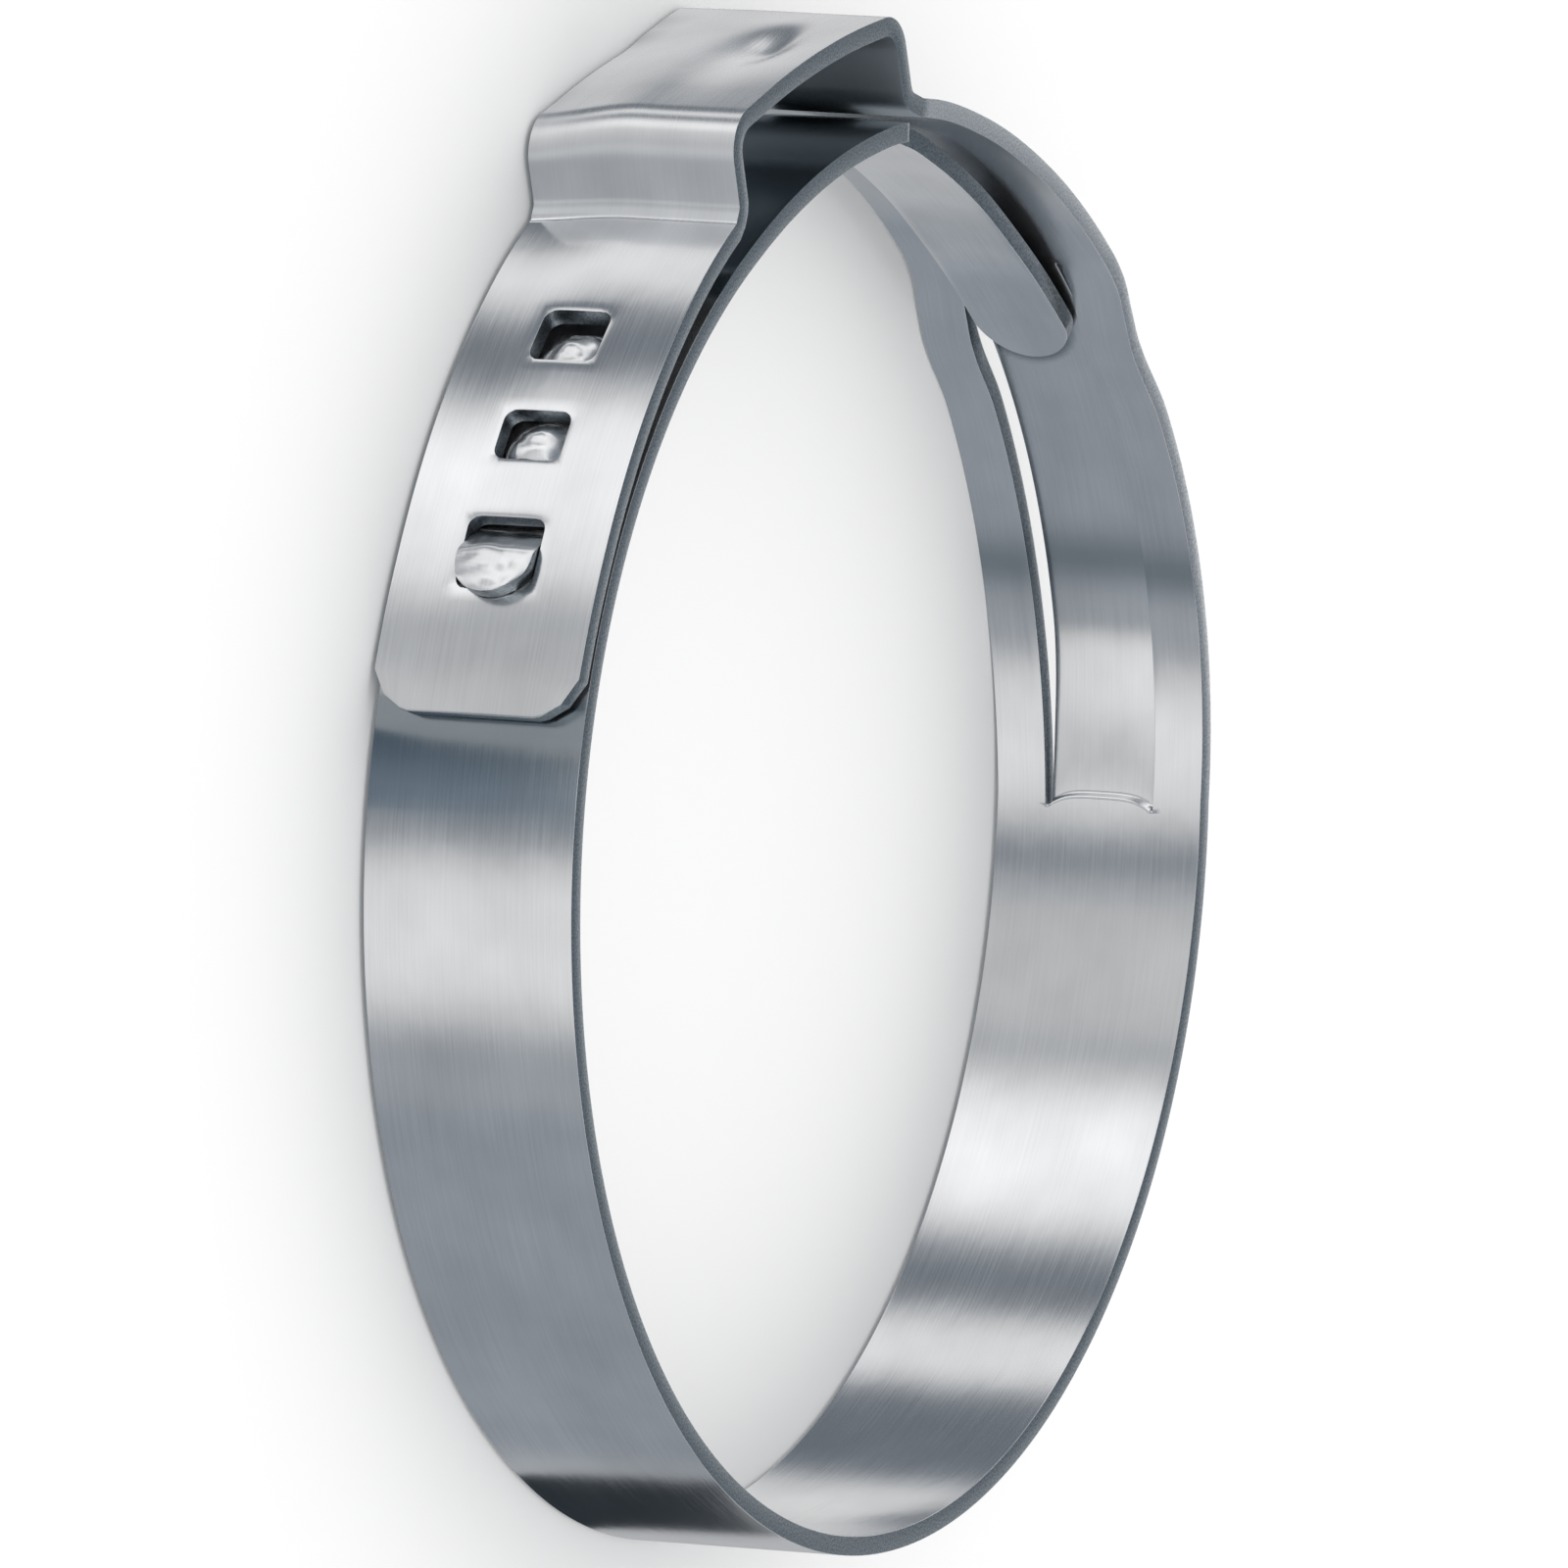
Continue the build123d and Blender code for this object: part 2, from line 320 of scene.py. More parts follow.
rows = []
for (start, pitch), (end, _) in zip(RING_STOPS, RING_STOPS[1:]):
    rows += [("ring", place) for place in spaced(start, end, pitch)]
rows += [("ear", reach) for reach in spaced(0, ear_reach[-1], ROW_PITCH)]
for (start, pitch), (end, _) in zip(LAP_STOPS, LAP_STOPS[1:]):
    rows += [("lap", place) for place in spaced(start, end, pitch)]
rows.append(("lap", OUTER_END))
columns = [-z for z in reversed(HALF_COLUMNS)] + [0.0] + HALF_COLUMNS
print("blank:", len(rows), "rows by", len(columns), "columns")

# %% [markdown]
# The grid can be any size, since only its order counts. Each corner keeps its row and its column in
# layers of its own, and its place on the strip is looked up from them later.

# %% Flat grid that remembers its rows and columns
bm = bmesh.new()
u_count = len(rows) - 1
v_count = len(columns) - 1
bmesh.ops.create_grid(bm, x_segments=u_count, y_segments=v_count, size=1.0)
row = bm.verts.layers.int.new("row")
column = bm.verts.layers.int.new("column")
part_of = bm.faces.layers.int.new("part")
becomes = bm.verts.layers.int.new("becomes")
for vert in bm.verts:
    vert[row] = round((vert.co.x + 1) / 2 * u_count)
    vert[column] = round((vert.co.y + 1) / 2 * v_count)
print("grid:", len(bm.faces), "faces")

# %% [markdown]
# ## Piercing and lancing
# A press takes waste out of the blank at the windows, beside the tongue and along the slots of the
# channel. Where it lances, it only parts the steel, so there the edges of the grid are split. It could
# be done with booleans on the formed strip, but on the flat blank it takes only deleting and splitting.

# %% Pierce the blank
PARTS = ["band", "tab", "hook", "strip", "rail", "hole"]
JUST_PAST = 1e-3


def face_part(kind, place, across):
    """Part that a face with this place and offset in its middle becomes, or None where it is cut away."""
    z = abs(across)
    if kind == "ear":
        return "band"
    if kind == "lap":
        pierced = any(abs(place - middle) < length / 2 and z < half for middle, length, half in WINDOWS)
        return None if pierced else "band"
    if place < SHOULDER and z > TONGUE_HALF_WIDTH:
        return None
    if CHANNEL_END < place < STEP_TOP:
        if z < STRIP_EDGE:
            return "strip"
        return None if z < RAIL_EDGE else "rail"
    if TAB_ROOT < place < TAB_END and z < TAB_HALF_WIDTH:
        return "tab"
    if z < HOOK_HALF_WIDTH and any(centre - HOOK_RADIUS < place < face for centre, face in HOOKS):
        return "hook"
    return "band"


waste = []
for face in bm.faces:
    first = min(vert[row] for vert in face.verts)
    low = min(vert[column] for vert in face.verts)
    kind, start = rows[first]
    next_kind, end = rows[first + 1]
    middle = (start + end) / 2 if kind == next_kind else start + JUST_PAST
    part = face_part(kind, middle, (columns[low] + columns[low + 1]) / 2)
    if part is None:
        waste.append(face)
    else:
        face[part_of] = PARTS.index(part)
bmesh.ops.delete(bm, geom=waste, context="FACES")
print("pierced", len(waste), "faces")

# %% [markdown]
# A lance cuts the steel and takes nothing away. The tab is cut free on three sides and bent up from
# its root. A hook is cut on one side only, and the steel behind the cut is stretched into half a
# dome. Splitting those edges of the grid does the same, and the flat blank shows where they are.

# %% Lance the tab and the hooks
def is_lanced(edge):
    """Whether the press parts the steel along this edge."""
    parts = {PARTS[face[part_of]] for face in edge.link_faces}
    places = [rows[vert[row]][1] for vert in edge.verts]
    if parts == {"tab", "band"}:
        return not all(near(place, TAB_ROOT) for place in places)
    if parts == {"hook", "band"}:
        reach = max(abs(columns[vert[column]]) for vert in edge.verts)
        for centre, sheared in HOOKS:
            half = sqrt(HOOK_RADIUS**2 - (sheared - centre) ** 2)
            if reach < half and all(near(place, sheared) for place in places):
                return True
    return False


lances = [edge for edge in bm.edges if len(edge.link_faces) == 2 and is_lanced(edge)]
tab_sides = {vert for edge in lances for vert in edge.verts if rows[vert[row]][1] > TAB_ROOT + JUST_PAST}
hole_keys = {(vert[row], vert[column]) for vert in tab_sides}
bmesh.ops.split_edges(bm, edges=lances)
print("lanced", len(lances), "edges")

# %% [markdown]
# A corner moves with one part only. Where two parts meet, the one that is pressed takes the corner,
# except on the row of a hook's cut. The rim that the tab leaves behind is a part of its own, the
# hole, because it is drawn in under the tab.

# %% What each corner of the grid becomes
def corner_part(vert):
    """The part that a corner moves with, chosen from the faces round it."""
    names = {PARTS[face[part_of]] for face in vert.link_faces}
    sheared = any(near(rows[vert[row]][1], face) for _, face in HOOKS)
    if "tab" in names:
        return "tab"
    if names == {"hook"} or ("hook" in names and not sheared):
        return "hook"
    if "rail" in names:
        return "rail"
    if "strip" in names:
        return "strip"
    return "hole" if (vert[row], vert[column]) in hole_keys else "band"


for vert in bm.verts:
    vert[becomes] = PARTS.index(corner_part(vert))
counts = [sum(vert[becomes] == k for vert in bm.verts) for k in range(len(PARTS))]
print("corners:", dict(zip(PARTS, counts)))

# %% [markdown]
# ## Forming
# Every corner of the grid is carried to its place on the clamp. Round ends are made by pulling the
# square end of the grid onto a circle, and a dome by raising the grid over a ball.

# %% Round ends and cut corners
def round_end(ahead, across, half_width):
    """Square end of a strip pulled onto a half circle. Both lengths are from the circle's centre."""
    q = ahead / half_width
    w = across / half_width
    return half_width * q * sqrt(1 - w * w / 2), half_width * w * sqrt(1 - q * q / 2)


def cut_corner(ahead, beside, size, fullness):
    """Square corner of a strip pulled back to a cut corner. Fullness 0.5 is straight, 1 square."""
    q = ahead / size
    w = beside / size
    return size * q * (1 - w * (1 - fullness)), size * w * (1 - q * (1 - fullness))


def window_outline(along, across, half_length, half_width):
    """Place of a point on the edge of a window once its corners are round."""
    u, v = abs(along), abs(across)
    if near(u, half_length) and v > half_width - WINDOW_CORNER:
        angle = radians(45) * (1 - (half_width - v) / WINDOW_CORNER)
    elif near(v, half_width) and u > half_length - WINDOW_CORNER:
        angle = radians(90) - radians(45) * (1 - (half_length - u) / WINDOW_CORNER)
    else:
        return along, across
    u = half_length - WINDOW_CORNER + WINDOW_CORNER * cos(angle)
    v = half_width - WINDOW_CORNER + WINDOW_CORNER * sin(angle)
    return (u if along > 0 else -u), (v if across > 0 else -v)


tip, _ = round_end(TONGUE_HALF_WIDTH, 0.0, TONGUE_HALF_WIDTH)
print("the tongue's tip is this far ahead of its circle's centre, mm:", tip)

# %% [markdown]
# The hooks are half domes. The guide tab is a round-tipped tongue that climbs through its window and
# lies over the window's end. Both are pressed up, so a little noise gives them an uneven skin.
# They could be sculpted, but noise gives the same lumps on each run.

# %% Hooks and guide tab
HAMMER_SCALE = 3.1
HAMMER_SLICE = 1.7
TAB_LUMPS = 0.08
HOOK_LUMPS = 0.45
HOOK_SMOOTH_BELOW = 0.3


def hammered(place, across, size):
    """Small uneven lumps that the press leaves on what it raises, in millimetres."""
    return size * noise.noise(Vector((place * HAMMER_SCALE, across * HAMMER_SCALE, HAMMER_SLICE)))


def hook_rise(place, across):
    """Height of the two half domes over the ring's outer face."""
    ball = (HOOK_RADIUS**2 + HOOK_HEIGHT**2) / (2 * HOOK_HEIGHT)
    for centre, _ in HOOKS:
        away = hypot(place - centre, across - HOOK_SHIFT)
        if away < HOOK_RADIUS:
            return sqrt(ball * ball - away * away) - (ball - HOOK_HEIGHT)
    return 0.0


def on_tab(place, across):
    """Place, offset and rise of a point of the guide tab, which leans out over its window's end."""
    ahead = (place - TAB_ROOT) / (TAB_END - TAB_ROOT) * TAB_REACH
    round_from = TAB_REACH - TAB_HALF_WIDTH
    if ahead > round_from:
        past, across = round_end(ahead - round_from, across, TAB_HALF_WIDTH)
        ahead = round_from + past
    crown = 1 - TAB_CROWN * (across / TAB_HALF_WIDTH) ** 2 * smooth_step(ahead, 0.0, TAB_CROWN_FROM)
    return TAB_ROOT + ahead, across * TAB_SPREAD, through(TAB_LINE, ahead) * crown


print("hook's height, mm:", round(hook_rise(HOOKS[0][0], HOOK_SHIFT), 2))

# %% [markdown]
# The ear's top is not a clean arch. A dished press mark pulls it down just past the middle, with a
# sharper pit inside it, and its far edge hangs a little lower than the near one. They could be
# sculpted, but as soft dents each has its depth and its place as plain numbers.

# %% Press marks
BOWL = (0.22, -0.3, 1.0, 2.8, 1.5)  # depth, middle along and across, half length along and across
PIT = (0.4, 1.1, 1.3, 1.5, 0.7)
FAR_DROPS = [(-6.0, 0.4), (-4.0, 0.46), (0.3, 0.5), (2.4, 0.28), (4.6, 0.05)]
LAP_DROP = 0.2
FAR_SAG = 1.3
SAG_REACH = HALF_WIDTH + 1.0
LEG_HEIGHT = 22.6
TOP_HEIGHT = 24.6


def dent(x, across, mark):
    """Depth of a soft dent, given as its depth, its two middles and its two half lengths."""
    depth, middle_x, middle_z, half_x, half_z = mark
    return depth * exp(-(((x - middle_x) / half_x) ** 2) - ((across - middle_z) / half_z) ** 2)


def far_sag(across):
    """0 at the near edge and over the middle, and growing towards the far edge."""
    return smooth_step(-across, 0.0, SAG_REACH) * FAR_SAG


def window_roll(place, across):
    """Depth by which the outer face rolls over towards the edge of a window."""
    roll = 0.0
    for middle, length, half_width in WINDOWS:
        beyond_u = max(abs(place - middle) - length / 2, 0.0)
        beyond_v = max(abs(across) - half_width, 0.0)
        roll += ROLL_DEPTH * exp(-((hypot(beyond_u, beyond_v) / ROLL_WIDTH) ** 2))
    return roll


print("deepest dent, mm:", round(dent(PIT[1], PIT[2], PIT) + dent(PIT[1], PIT[2], BOWL), 2))

# %% [markdown]
# Three short rules turn a place, an offset and a depth into a point: one for the ear, which follows
# its path, and two for the lap and the ring, which are bent round the bore. One long rule would do,
# but each corner belongs to just one of them, and they are easier to try out apart.

# %% Carry a corner to its place
def ear_corner(reach, across, depth):
    """Point of the ear, in millimetres."""
    point = ear_point(reach, depth)
    top = smooth_step(point.y, LEG_HEIGHT, TOP_HEIGHT)
    sag = far_sag(across)
    mark = dent(point.x, across, BOWL) + dent(point.x, across, PIT)
    drop = top * (mark + through(FAR_DROPS, point.x) * sag)
    if point.x < 0:
        drop += LAP_DROP * sag * (1 - top)
    return Vector((point.x, point.y - drop, across))


def lap_corner(place, across, depth):
    """Point of the outer lap, in millimetres."""
    lift = through(LAP_LIFTS, place) - LAP_DROP * far_sag(across) - window_roll(place, across)
    for middle, length, half_width in WINDOWS:
        beyond_u = abs(place - middle) - length / 2
        if beyond_u < SAME_PLACE and abs(across) - half_width < SAME_PLACE:
            along, across = window_outline(place - middle, across, length / 2, half_width)
            place = middle + along
    ahead = place - OUTER_END + END_CORNER
    beside = abs(across) - HALF_WIDTH + END_CORNER
    if ahead > 0 and beside > 0:
        ahead, beside = cut_corner(ahead, beside, END_CORNER, CORNER_FULLNESS)
        place = OUTER_END - END_CORNER + ahead
        across = (HALF_WIDTH - END_CORNER + beside) * (1 if across > 0 else -1)
    flat = polar(place, BORE + lift + THICKNESS - depth)
    return Vector((flat.x, flat.y, across))


def ring_corner(place, across, part, depth):
    """Point of the tongue, the ring, the channel or the raised band, in millimetres."""
    lift = inner_lift(place)
    if part == "tab":
        place, across, rise = on_tab(place, across)
        lift += rise + hammered(place, across, TAB_LUMPS)
    elif part == "hook":
        rise = hook_rise(place, across)
        lift += rise + min(rise, HOOK_SMOOTH_BELOW) * hammered(place, across, HOOK_LUMPS)
    elif part == "hole":
        narrow = smooth_step(place, HOLE_TRIM_FROM, HOLE_TRIM_FULL)
        across *= 1 - HOLE_TRIM / TAB_HALF_WIDTH * narrow
        place -= HOLE_TRIM * (place > TAB_END - HOLE_TRIM)
    elif part == "strip":
        lift = strip_lift(place)
    elif part == "rail":
        reach = min(max((place - CHANNEL_END) / (STEP_TOP - CHANNEL_END), 0.0), 1.0)
        across += 4 * RAIL_BOW * reach * (1 - reach) * (1 if across > 0 else -1)
    place -= end_arch(place, across)
    if place < TONGUE_ROUND_FROM:
        past, across = round_end(TONGUE_ROUND_FROM - place, across, TONGUE_HALF_WIDTH)
        place = TONGUE_ROUND_FROM - past
    flat = polar(place, BORE + lift + THICKNESS - depth)
    return Vector((flat.x, flat.y, across))


def formed(kind, place, across, part, depth):
    """Point of the formed strip at a depth below its outer face, in millimetres."""
    if kind == "ear":
        return ear_corner(place, across, depth)
    if kind == "lap":
        return lap_corner(place, across, depth)
    return ring_corner(place, across, part, depth)


print("end of the lap, mm:", [round(v, 2) for v in formed("lap", OUTER_END, 0.0, "band", 0.0)])

# %% [markdown]
# Extruding the whole blank once gives it its thickness: the copy is the inner face, and the walls
# between the two are the sheared edges. A Solidify modifier could do it too, but this way both faces
# keep their rows and columns, and each is carried to its place at its own depth. The layers for the
# masks are made first, because a new layer of corners makes bmesh lose the ones a script remembers.

# %% Thickness and form
ROLLED = 0
SHEARED = 1
worked = bm.verts.layers.float.new("worked")
painted_shade = bm.verts.layers.float.new("painted_shade")
painted_rim_highlight = bm.verts.layers.float.new("painted_rim_highlight")
made = bmesh.ops.extrude_face_region(bm, geom=bm.faces[:], use_keep_orig=True)["geom"]
inner = {item for item in made if isinstance(item, bmesh.types.BMVert)}
for face in bm.faces:
    below = sum(vert in inner for vert in face.verts)
    face.material_index = SHEARED if 0 < below < len(face.verts) else ROLLED
for vert in bm.verts:
    kind, place = rows[vert[row]]
    depth = THICKNESS if vert in inner else 0.0
    vert.co = formed(kind, place, columns[vert[column]], PARTS[vert[becomes]], depth) * MM
bmesh.ops.recalc_face_normals(bm, faces=bm.faces[:])
if bm.calc_volume(signed=True) < 0:
    bmesh.ops.reverse_faces(bm, faces=bm.faces[:])
print("steel, mm3:", round(bm.calc_volume(signed=True) / MM**3, 1))
print("open edges:", sum(not edge.is_manifold for edge in bm.edges))

# %% [markdown]
# ## Wear, painted shade and a painted highlight
# Three masks ride on the corners, for the finishes to read. Bent and hammered steel is rougher.
# Shade is painted into the steel's colour: under and inside the ear, on its leg, beside the end of the
# lap and round the tongue's tip (painted shadows), inside the raised band, and in one dark band across
# the inside of the channel. It could be left to the light alone, but a soft mask is easier to steer. From
# the channel to the ear a highlight is painted on the rim, so it is brighter.

# %% Masks
HAMMERED = 0.5
BENT_LEG = 1.5
BENT_CROWN = 0.4
LEG_TOP = 24.2  # heights over the bore axis
CROWN_FOOT = 24.9
# How much shade is painted into the colour at each place below, from 0 to 1.
EAR_INSIDE_SHADE = 0.75
LEG_SHADE = 0.22
LEG_SHADE_FROM = 14.6  # lengths along the ear's path
LEG_SHADE_FULL = 15.6
UNDER_EAR_SHADE = 0.8
UNDER_EAR_REACH = EAR_FOOT + 2
LAP_SHADOW = 0.72
LAP_SHADOW_FROM = OUTER_END - 0.6
LAP_SHADOW_FADES = OUTER_END + 0.4
LAP_SHADOW_ENDS = OUTER_END + 2.4
TIP_SHADOW = 0.8
TIP_SHADOW_REACH = 0.35
TIP_SHADOW_LENGTH = 3
TIP_SHIFT_ALONG = 0.65
TIP_SHIFT_ACROSS = 0.45
DARK_BAND_SHADE = 0.6
DARK_BAND_PLACE = FULL_TURN - 31.0
DARK_BAND_WIDTH = 0.95
BAND_INSIDE_SHADE = 0.9
BAND_INSIDE_FROM = FULL_TURN - 19.5
BAND_INSIDE_FULL = FULL_TURN - 6.5
RIM = 3.0
RIM_HIGHLIGHT_FROM = FULL_TURN - 44.0
RIM_HIGHLIGHT_FULL = FULL_TURN - 30.0


def outer_painted_shade(kind, place):
    """Painted shade on the outer face, from 0 to 1."""
    if kind == "lap":
        return 0.0
    if kind == "ear":
        return LEG_SHADE * smooth_step(place, LEG_SHADE_FROM, LEG_SHADE_FULL)
    if abs(place) < UNDER_EAR_REACH:
        return UNDER_EAR_SHADE
    if place > LAP_SHADOW_FROM:
        return LAP_SHADOW * (1 - smooth_step(place, LAP_SHADOW_FADES, LAP_SHADOW_ENDS))
    return 0.0


def inner_painted_shade(kind, place, across, part):
    """Painted shade on the inner face, from 0 to 1."""
    if kind == "lap":
        return 0.0
    if kind == "ear":
        return EAR_INSIDE_SHADE
    # A painted shadow round the tongue's tip, a painted dark band across the channel, and painted shade
    # inside the raised band.
    centre = FULL_TURN + TONGUE_ROUND_FROM - TIP_SHIFT_ALONG
    away = hypot(min(place - centre, 0.0), across + TIP_SHIFT_ACROSS) - TONGUE_HALF_WIDTH
    beside_tip = part == "strip" and place > centre - TIP_SHADOW_LENGTH
    tip_contact_shadow = TIP_SHADOW * (1 - smooth_step(away, 0.0, TIP_SHADOW_REACH)) if beside_tip else 0.0
    dark_band_shade = DARK_BAND_SHADE * exp(-(((place - DARK_BAND_PLACE) / DARK_BAND_WIDTH) ** 2))
    band_inside_shade = BAND_INSIDE_SHADE * smooth_step(place, BAND_INSIDE_FROM, BAND_INSIDE_FULL)
    return max(tip_contact_shadow, dark_band_shade, band_inside_shade)


def wear(kind, part, height):
    """How much rougher bending or hammering has left the steel."""
    if part in ("tab", "hook"):
        return HAMMERED
    if kind == "ear":
        return BENT_LEG + (BENT_CROWN - BENT_LEG) * smooth_step(height, LEG_TOP, CROWN_FOOT)
    return 0.0


for vert in bm.verts:
    kind, place = rows[vert[row]]
    part = PARTS[vert[becomes]]
    across = columns[vert[column]]
    vert[worked] = wear(kind, part, vert.co.y / MM)
    if vert in inner:
        vert[painted_shade] = inner_painted_shade(kind, place, across, part)
    else:
        vert[painted_shade] = outer_painted_shade(kind, place)
    # A highlight is painted on the rim from the channel to the ear.
    if kind == "ring" and abs(across) > RIM:
        vert[painted_rim_highlight] = smooth_step(place, RIM_HIGHLIGHT_FROM, RIM_HIGHLIGHT_FULL)
print("sheltered corners:", sum(vert[painted_shade] > 0.5 for vert in bm.verts))

# %% [markdown]
# Sheared edges are broken a little, as tumbling leaves them. A Bevel modifier does it, held to the
# edges that a weight picks out, because a limit by angle could catch the bends too. The short ends of
# the two slots are left out, since they are hardly wider than the break itself.

# %% Edges to break
BROKEN_EDGE = 0.075
SLOT_END_REACH = 0.02
broken = bm.edges.layers.float.new("bevel_weight_edge")
for edge in bm.edges:
    at_slot_end = all(abs(rows[vert[row]][1] - CHANNEL_END) < SLOT_END_REACH for vert in edge.verts)
    sheared = len({face.material_index for face in edge.link_faces}) == 2
    edge[broken] = float(sheared and not at_slot_end)
print("edges to break:", sum(edge[broken] > 0 for edge in bm.edges))

# %% [markdown]
# The rolled lines have to follow the strip round the ring and over the ear. The formed clamp could be
# unwrapped for that, but the flat blank is already the map that they need.

# %% A flat map of the strip, in millimetres
SEAM = 0.1
uv = bm.loops.layers.uv.new("strip")
reach = [0.0]
for (kind, start), (next_kind, end) in zip(rows, rows[1:]):
    reach.append(reach[-1] + (end - start if kind == next_kind else SEAM))
for face in bm.faces:
    face.smooth = True
    for loop in face.loops:
        loop[uv].uv = (reach[loop.vert[row]], columns[loop.vert[column]])
print("length of the flat map, mm:", round(reach[-1], 1))

# %% [markdown]
# The finished mesh goes to an object at the origin, so that the frame's places stay true. The Bevel
# modifier stays live on it.

# %% The piece
mesh = bpy.data.meshes.new("clamp_strip")
bm.to_mesh(mesh)
bm.free()
band = bpy.data.objects.new("clamp_strip", mesh)
bpy.context.scene.collection.objects.link(band)
tumbled = band.modifiers.new("tumbled", "BEVEL")
tumbled.width = BROKEN_EDGE * MM
tumbled.segments = 3
tumbled.limit_method = "WEIGHT"
tumbled.profile = 0.5
print("clamp_strip:", len(mesh.polygons), "faces before its edges are broken")

# %% [markdown]
# ## Finish
# The strip is cold-rolled stainless steel. Rolling leaves fine lines along it and a faint waviness,
# so that reflections stay crisp along the strip and smear across it. The class below lets a finish
# be written as sums of the things that vary.

# %% Expressions for finishes
BLACK = (0.0, 0.0, 0.0, 1.0)
WHITE = (1.0, 1.0, 1.0, 1.0)


class Value:
    """A node socket that can be added, multiplied and fed into other nodes."""

    def __init__(self, tree, socket):
        self.tree, self.socket = tree, socket

    def node(self, kind, inputs=None, output=0, **settings):
        """Any other node, its inputs given by name or number as numbers or as other values."""
        made = self.tree.nodes.new(kind)
        for name, setting in settings.items():
            setattr(made, name, setting)
        for name, value in (inputs or {}).items():
            if isinstance(value, Value):
                self.tree.links.new(value.socket, made.inputs[name])
            else:
                made.inputs[name].default_value = value
        return Value(self.tree, made.outputs[output])

    def math(self, operation, *terms):
        """A Math node on these terms."""
        return self.node("ShaderNodeMath", dict(enumerate(terms)), operation=operation)

    def __add__(self, other):
        return self.math("ADD", self, other)

    def __sub__(self, other):
        return self.math("SUBTRACT", self, other)

    def __rsub__(self, other):
        return self.math("SUBTRACT", other, self)

    def __mul__(self, other):
        return self.math("MULTIPLY", self, other)

    __radd__ = __add__
    __rmul__ = __mul__

    def ramp(self, start, end, low=0.0, high=1.0):
        """low before start, high after end, and a soft change between them."""
        inputs = {"Value": self, "From Min": start, "From Max": end, "To Min": low, "To Max": high}
        return self.node("ShaderNodeMapRange", inputs, interpolation_type="SMOOTHSTEP")

    def blend(self, below, above):
        """Colour that goes from one to the other, by sockets 6 and 7, as this value goes from 0 to 1."""
        return self.node("ShaderNodeMix", {0: self, 6: below, 7: above}, output=2, data_type="RGBA")

    def stretched(self, scale):
        """These coordinates, scaled along each axis."""
        return self.node("ShaderNodeMapping", {"Vector": self, "Scale": scale})

    def noise(self, scale, detail):
        """Noise at these coordinates."""
        return self.node("ShaderNodeTexNoise", {"Vector": self, "Scale": scale, "Detail": detail})

    def bump(self, height, **others):
        """Normal of a surface on which this value is a height, in metres where it is 1."""
        inputs = {"Height": self, "Strength": 1.0, "Distance": height} | others
        return self.node("ShaderNodeBump", inputs)

    def mask(self, name):
        """One of the masks that ride on the corners."""
        return self.node("ShaderNodeAttribute", output="Fac", attribute_name=name)


def new_finish(name):
    """Empty material, its shader and a value to start expressions from."""
    material = bpy.data.materials.new(name)
    material.use_nodes = True
    tree = material.node_tree
    return material, tree.nodes["Principled BSDF"], Value(tree, None)


def feed(shader, **sockets):
    """Connects values to the shader, or sets its own sockets to constants."""
    for name, value in sockets.items():
        socket = shader.inputs[name.replace("_", " ")]
        if isinstance(value, Value):
            shader.id_data.links.new(value.socket, socket)
        else:
            socket.default_value = value


print("helpers for finishes: Value, new_finish, feed")

# %% [markdown]
# The fine lines are noise stretched along the strip, and the waviness is noise stretched less. Both
# tint the steel, and as bumps they are 2 and 16 micrometres high. Broad patches only tint it. A
# picture of brushed metal could do it, but noise doesn't repeat round the ring.

# %% Rolled steel
STEEL = (0.98, 0.985, 1.0, 1.0)
# Dark blue-grey that painted shade darkens the steel towards.
PAINTED_SHADE_STEEL = (0.2, 0.26, 0.3, 1.0)
MICROMETRE = 0.000001
LINE_SCALE = (0.25, 14.0, 1.0)
CLOUD_SCALE = (0.22, 0.5, 1.0)
PATCH_SCALE = 0.3
TONE = 0.9
LINE_TINT = 0.14
CLOUD_TINT = 0.12
PATCH_TINT = 0.3
ROUGHNESS = 0.19
LINE_ROUGHNESS = 0.1
WORKED_ROUGHNESS = 0.2
steel, shader, start = new_finish("rolled_steel")
strip_place = start.node("ShaderNodeUVMap", uv_map="strip")
fine = strip_place.stretched(LINE_SCALE).noise(1.0, 4.0)
cloud = strip_place.stretched(CLOUD_SCALE).noise(1.0, 3.0)
patches = strip_place.noise(PATCH_SCALE, 2.0)
lines = (fine - 0.5) * LINE_TINT
clouds = (cloud - 0.5) * CLOUD_TINT
tone = TONE + lines + clouds + (patches - 0.5) * PATCH_TINT
# Shade is painted here: the mask darkens the steel's colour.
colour = start.mask("painted_shade").blend(tone.blend(BLACK, STEEL), PAINTED_SHADE_STEEL)
roughness = ROUGHNESS + (fine - 0.5) * LINE_ROUGHNESS + WORKED_ROUGHNESS * start.mask("worked")
brushed = fine.bump(2 * MICROMETRE, Normal=cloud.bump(16 * MICROMETRE))
feed(shader, Metallic=1.0, Base_Color=colour, Roughness=roughness, Normal=brushed)
feed(shader, Anisotropic=0.5, Anisotropic_Rotation=0.25)
print("rolled_steel:", len(steel.node_tree.nodes), "nodes")

# %% [markdown]
# A sheared edge is torn for part of its depth, so it is darker and grainy. From the channel to the
# ear a highlight is painted on it, so it is brighter there. Its grain is noise on the object's own
# coordinates, since it has no direction.

